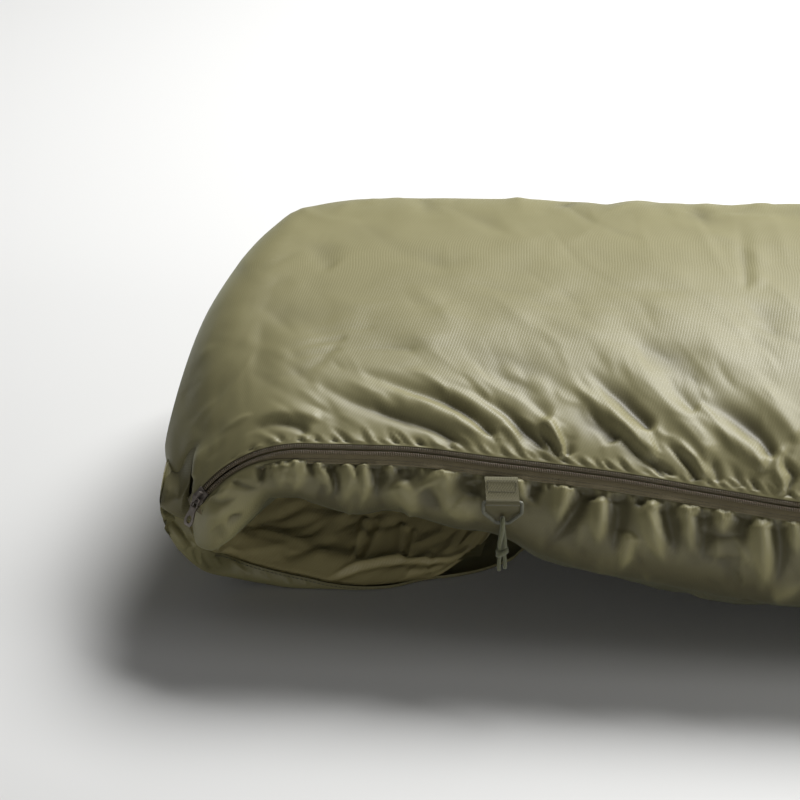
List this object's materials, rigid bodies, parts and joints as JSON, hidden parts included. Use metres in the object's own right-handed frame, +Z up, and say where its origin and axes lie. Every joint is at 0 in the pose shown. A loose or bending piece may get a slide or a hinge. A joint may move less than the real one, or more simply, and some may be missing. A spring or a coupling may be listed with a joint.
{
  "type": "bivy sack",
  "caption": "Lofted olive bivy sack lying flat, side zip run up to its closed head end, hood tucked under, webbing anchor tabs with rings and tie cords.",
  "frame": {"origin": "middle of the bounding box's bottom, on the floor under the sack", "axes": "+X from the head end towards the foot end, +Y to the side away from the zip, +Z up"},
  "size_m": [1.8853, 0.713, 0.2726],
  "materials": {
    "shell_fabric": "olive ripstop nylon with a soft satin sheen",
    "hood_lining": "the same cloth's darker inner face",
    "floor_fabric": "coated olive nylon",
    "filling": "quilted sleeping bag, hidden inside",
    "zip_tape": "woven polyester tape",
    "zip_coil": "nylon coil",
    "zip_metal": "dark oxidised metal",
    "webbing": "olive nylon webbing",
    "ring": "olive moulded ring",
    "cord": "olive braided cord"
  },
  "bodies": {
    "bag": {"top_panel": "shell_fabric", "zip_side_wall": "shell_fabric", "far_side_wall": "shell_fabric", "foot_panel": "shell_fabric", "hood_outer": "shell_fabric", "hood_inner": "hood_lining", "mouth_hem_tunnel": "hood_lining", "floor_panel": "floor_fabric", "sleeping_bag_filling": "filling", "zip_tape_upper": "zip_tape", "zip_tape_lower": "zip_tape", "zip_coil_upper": "zip_coil", "zip_coil_lower": "zip_coil", "zip_draft_flap": "floor_fabric", "zip_top_stop_upper": "zip_metal", "zip_top_stop_lower": "zip_metal", "zip_bottom_stop": "zip_metal", "head_near_tab": "webbing", "foot_near_tab": "webbing", "head_far_tab": "webbing", "foot_far_tab": "webbing"},
    "slider": {"zip_slider": "zip_metal"},
    "pull": {"zip_pull": "zip_metal"},
    "head_near_ring": {"head_near_ring": "ring"},
    "head_near_cord": {"head_near_tie_cord": "cord", "head_near_tie_knot": "cord"},
    "foot_near_ring": {"foot_near_ring": "ring"},
    "foot_near_cord": {"foot_near_tie_cord": "cord", "foot_near_tie_knot": "cord"},
    "head_far_ring": {"head_far_ring": "ring"},
    "head_far_cord": {"head_far_tie_cord": "cord", "head_far_tie_knot": "cord"},
    "foot_far_ring": {"foot_far_ring": "ring"},
    "foot_far_cord": {"foot_far_tie_cord": "cord", "foot_far_tie_knot": "cord"}
  },
  "joints": [
    {"name": "zip_slide", "type": "hinge", "parent": "bag", "child": "slider", "pos_m": [-0.7863, -0.274, 0.091], "axis": [0, 1, 0], "range_deg": [0, 52]},
    {"name": "pull_flip", "type": "hinge", "parent": "slider", "child": "pull", "pos_m": [-0.88487, -0.27904, 0.15397], "axis": [-0.7769, 0.5947, 0.207], "range_deg": [0, 145]},
    {"name": "head_near_ring_swing", "type": "hinge", "parent": "bag", "child": "head_near_ring", "pos_m": [-0.6048, -0.3156, 0.17461], "axis": [-1, 0, 0], "range_deg": [0, 110]},
    {"name": "head_near_cord_swing", "type": "hinge", "parent": "head_near_ring", "child": "head_near_cord", "pos_m": [-0.6048, -0.3156, 0.15361], "axis": [-1, 0, 0], "range_deg": [0, 75]},
    {"name": "foot_near_ring_swing", "type": "hinge", "parent": "bag", "child": "foot_near_ring", "pos_m": [0.2937, -0.3494, 0.12234], "axis": [-1, 0, 0], "range_deg": [0, 110]},
    {"name": "foot_near_cord_swing", "type": "hinge", "parent": "foot_near_ring", "child": "foot_near_cord", "pos_m": [0.2937, -0.3494, 0.10134], "axis": [-1, 0, 0], "range_deg": [0, 75]},
    {"name": "head_far_ring_swing", "type": "hinge", "parent": "bag", "child": "head_far_ring", "pos_m": [-0.6048, 0.33346, 0.18139], "axis": [1, 0, 0], "range_deg": [0, 110]},
    {"name": "head_far_cord_swing", "type": "hinge", "parent": "head_far_ring", "child": "head_far_cord", "pos_m": [-0.6048, 0.33346, 0.16039], "axis": [1, 0, 0], "range_deg": [0, 75]},
    {"name": "foot_far_ring_swing", "type": "hinge", "parent": "bag", "child": "foot_far_ring", "pos_m": [0.2937, 0.35175, 0.15703], "axis": [1, 0, 0], "range_deg": [0, 110]},
    {"name": "foot_far_cord_swing", "type": "hinge", "parent": "foot_far_ring", "child": "foot_far_cord", "pos_m": [0.2937, 0.35175, 0.13603], "axis": [1, 0, 0], "range_deg": [0, 75]}
  ]
}
